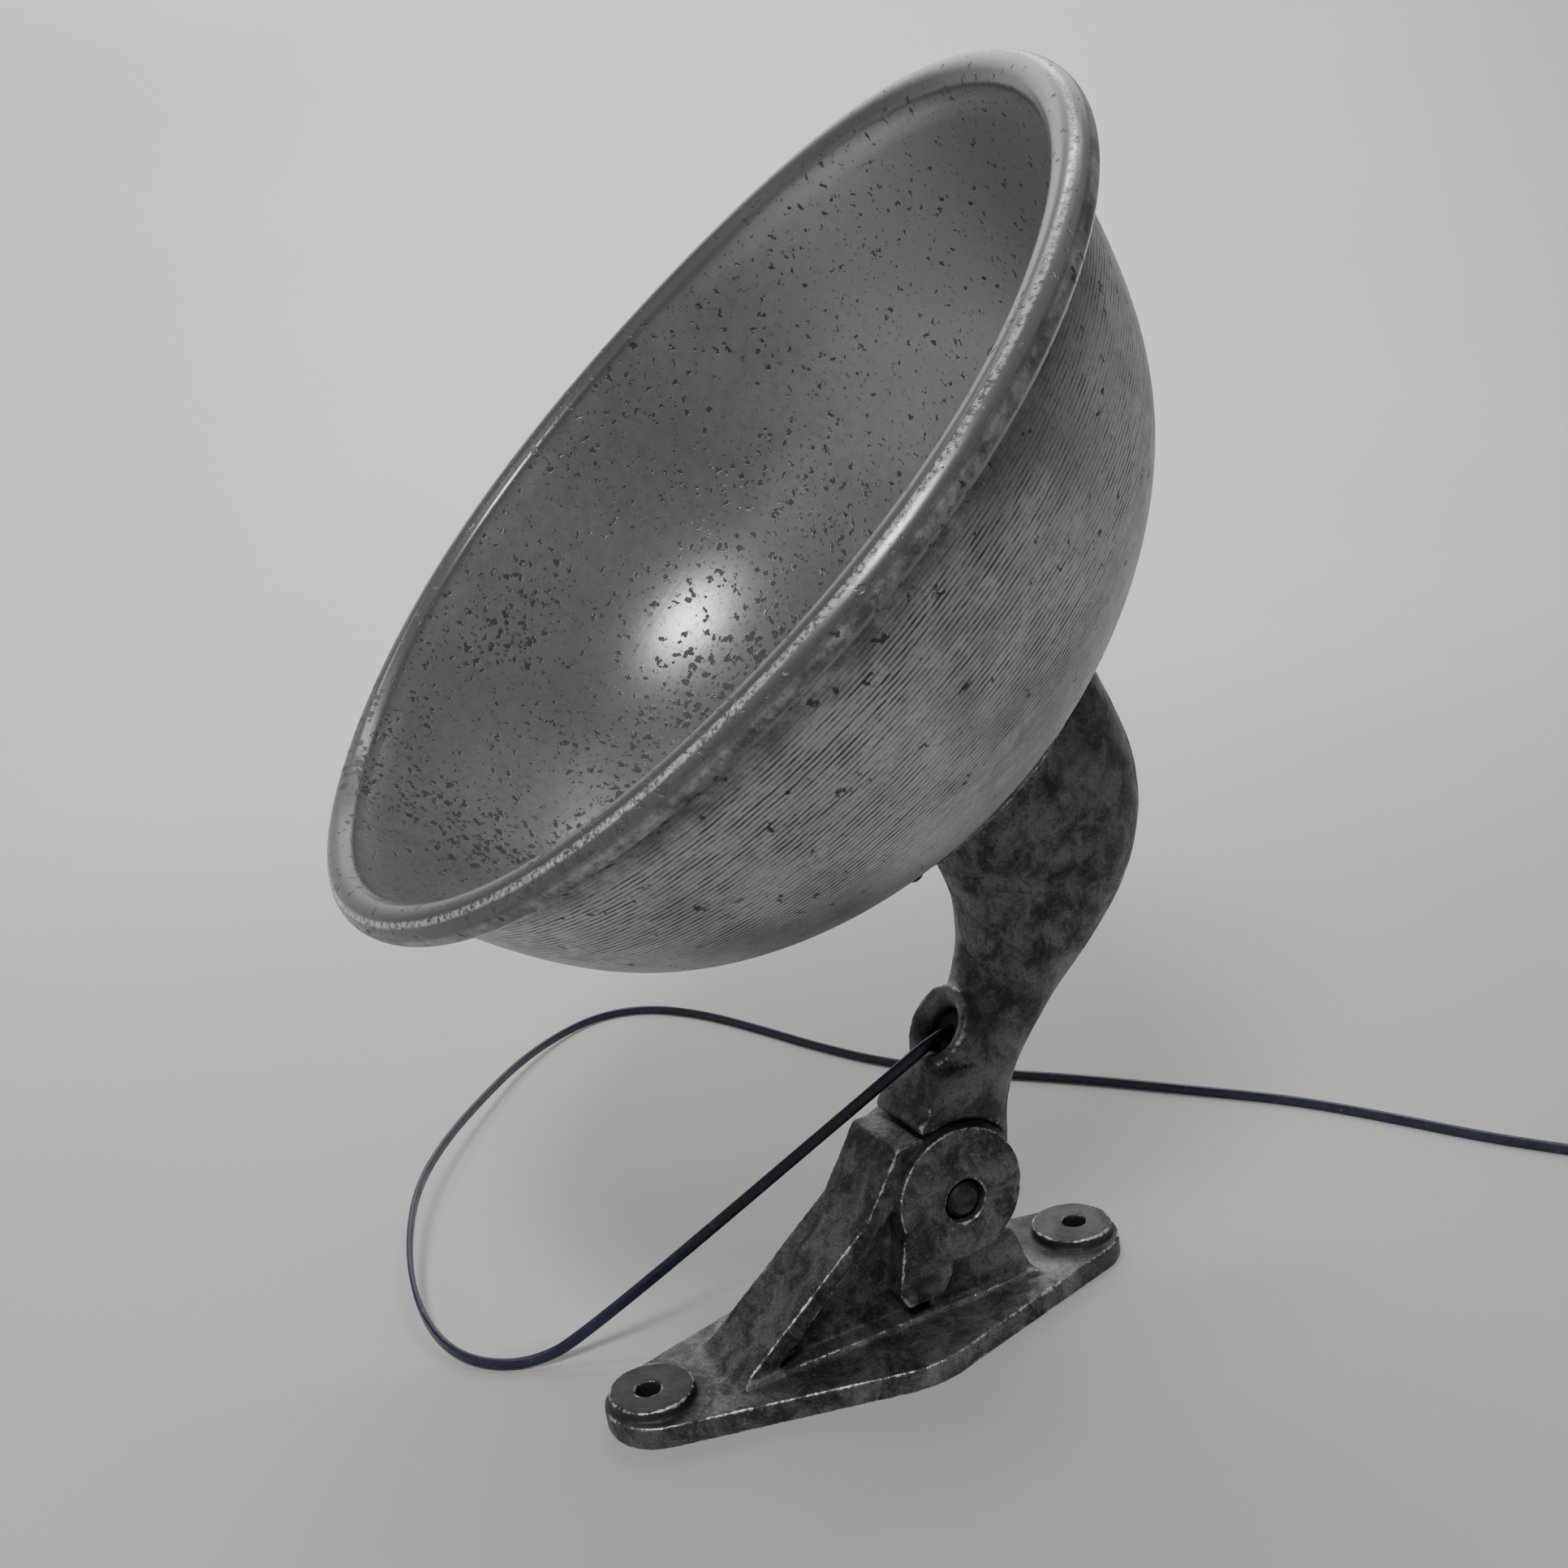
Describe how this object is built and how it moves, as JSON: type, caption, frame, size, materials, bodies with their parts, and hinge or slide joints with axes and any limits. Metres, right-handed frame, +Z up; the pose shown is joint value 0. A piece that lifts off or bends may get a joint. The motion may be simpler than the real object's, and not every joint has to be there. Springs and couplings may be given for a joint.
{
  "type": "industrial flood lamp",
  "caption": "Industrial flood lamp: a spun bowl reflector on a hollow cast goose-neck arm, hinged by one friction bolt on a lozenge base bracket, with a flat twin flex and plug.",
  "frame": {"origin": "midpoint between the two fixing holes, on the underside of the base plate", "axes": "+X from the fixing hole under the bowl's mouth to the one under the arm, +Y along the hinge bolt from its head to its nut, +Z up"},
  "size_m": [0.6317, 0.6635, 0.5206],
  "materials": {
    "cast_bracket": "aged cast, worn edges",
    "cast_arm": "aged cast",
    "spun_bowl": "spun, stained and pitted",
    "steel_hardware": "dull plated",
    "black_steel": "gloss black",
    "fibre": "matt vulcanised fibre",
    "porcelain": "glazed",
    "brass_contacts": "satin",
    "rubber_bush": "matt",
    "wire_red": "satin insulation",
    "wire_black": "satin insulation",
    "flex_sheath": "satin",
    "plug_moulding": "moulded"
  },
  "bodies": {
    "base": {"base_bracket": "cast_bracket", "hinge_bolt": "steel_hardware", "hinge_washer": "steel_hardware", "hinge_nut": "steel_hardware", "near_friction_disc": "fibre", "far_friction_disc": "fibre", "flex_cord": "flex_sheath", "flex_coil": "flex_sheath", "cord_tie": "wire_black", "plug_body": "plug_moulding", "plug_pins": "brass_contacts"},
    "head": {"arm_casting": "cast_arm", "reflector_bowl": "spun_bowl", "seating_ring": "cast_arm", "reflector_screws": "steel_hardware", "reflector_screw_washers": "steel_hardware", "dome_nut_washers": "black_steel", "reflector_dome_nut": "black_steel", "lampholder_plate": "steel_hardware", "lampholder_plate_screws": "steel_hardware", "lampholder_insulator": "porcelain", "lamp_screw_shell": "brass_contacts", "lamp_centre_contact": "brass_contacts", "lampholder_terminals": "brass_contacts", "live_wire": "wire_red", "neutral_wire": "wire_black", "cord_bush": "rubber_bush", "flex_entry": "flex_sheath"}
  },
  "joints": [
    {"name": "tilt", "type": "hinge", "parent": "base", "child": "head", "pos_m": [0.0395, 0, 0.0625], "axis": [0, 1, 0], "range_deg": [0, 45]}
  ]
}
